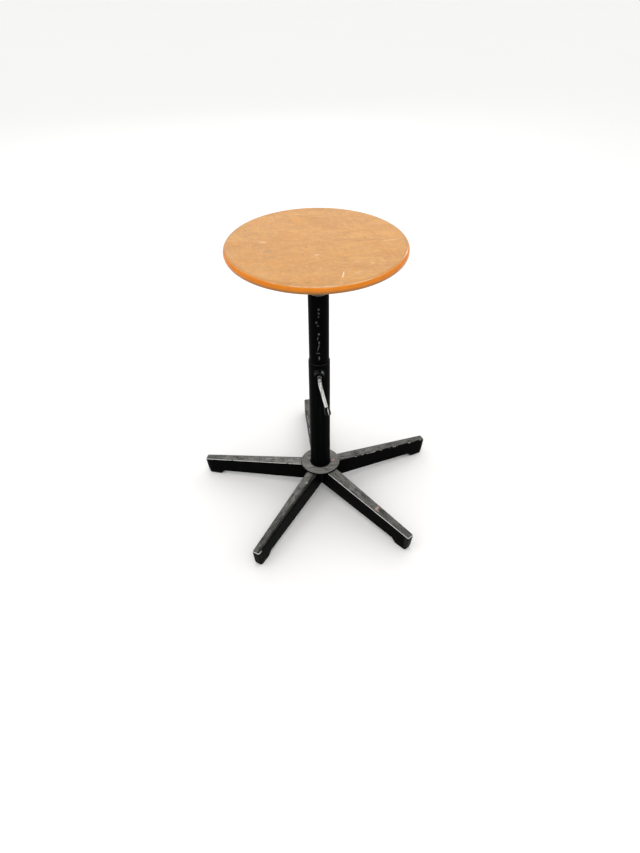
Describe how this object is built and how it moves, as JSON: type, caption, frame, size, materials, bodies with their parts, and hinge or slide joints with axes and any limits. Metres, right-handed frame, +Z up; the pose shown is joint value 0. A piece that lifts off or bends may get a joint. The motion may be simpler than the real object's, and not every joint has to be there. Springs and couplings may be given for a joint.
{
  "type": "adjustable swivel stool",
  "caption": "Height-adjustable swivel stool: round plywood seat on a turning spindle, telescopic tube column with a side clamp lever, star base on plastic glides.",
  "frame": {"origin": "on the floor, under the centre of the column", "axes": "+Z up along the column towards the seat, -Y out of the column on the side of the clamp lever"},
  "size_m": [0.5364, 0.5297, 0.615],
  "materials": {
    "beech_plywood": "clear varnish, worn",
    "column_paint": "semi-gloss black",
    "base_paint": "dusty satin black",
    "carrier_paint": "satin black",
    "bearing_plastic": "moulded, light grey",
    "guide_plastic": "moulded, black",
    "foot_plastic": "moulded, black",
    "bright_steel": "ground",
    "zinc_steel": "zinc plated",
    "spring_steel": "phosphated",
    "lever_chrome": "bright plating",
    "grip_plastic": "glossy black"
  },
  "bodies": {
    "base": {"lower_tube": "column_paint", "guide_sleeve": "guide_plastic", "clamp_boss": "column_paint", "hub_ring": "base_paint", "leg_1": "base_paint", "leg_2": "base_paint", "leg_3": "base_paint", "leg_4": "base_paint", "leg_5": "base_paint", "foot_1": "foot_plastic", "foot_2": "foot_plastic", "foot_3": "foot_plastic", "foot_4": "foot_plastic", "foot_5": "foot_plastic"},
    "column": {"upper_tube": "column_paint", "column_glide": "guide_plastic", "top_bearing": "bearing_plastic", "lower_bush": "bearing_plastic", "thrust_washer": "zinc_steel"},
    "seat": {"seat_panel": "beech_plywood", "seat_plate": "carrier_paint", "seat_hub": "carrier_paint", "seat_gusset_1": "carrier_paint", "seat_gusset_2": "carrier_paint", "seat_gusset_3": "carrier_paint", "seat_gusset_4": "carrier_paint", "seat_screws": "zinc_steel", "spindle": "bright_steel", "spindle_circlip": "spring_steel", "spindle_washer": "zinc_steel"},
    "clamp_plug": {"clamp_pad": "bright_steel"},
    "clamp_handle": {"clamp_lever": "lever_chrome", "lever_grip": "grip_plastic"}
  },
  "joints": [
    {"name": "column_height", "type": "slide", "parent": "base", "child": "column", "axis": [0, 0, 1], "range_m": [-0.155, 0.065]},
    {"name": "seat_swivel", "type": "hinge", "parent": "column", "child": "seat", "pos_m": [0, 0, 0.5206], "axis": [0, 0, 1], "continuous": true},
    {"name": "clamp_plug_slide", "type": "slide", "parent": "base", "child": "clamp_plug", "axis": [0, -1, 0], "range_m": [0, 0.001]},
    {"name": "clamp_lever_turn", "type": "hinge", "parent": "clamp_plug", "child": "clamp_handle", "pos_m": [0, -0.036, 0.34], "axis": [0, -1, 0], "range_deg": [0, 270]}
  ],
  "couplings": [
    {"joint": "clamp_plug_slide", "follows": "clamp_lever_turn", "m_per_rad": 0.00019894}
  ]
}
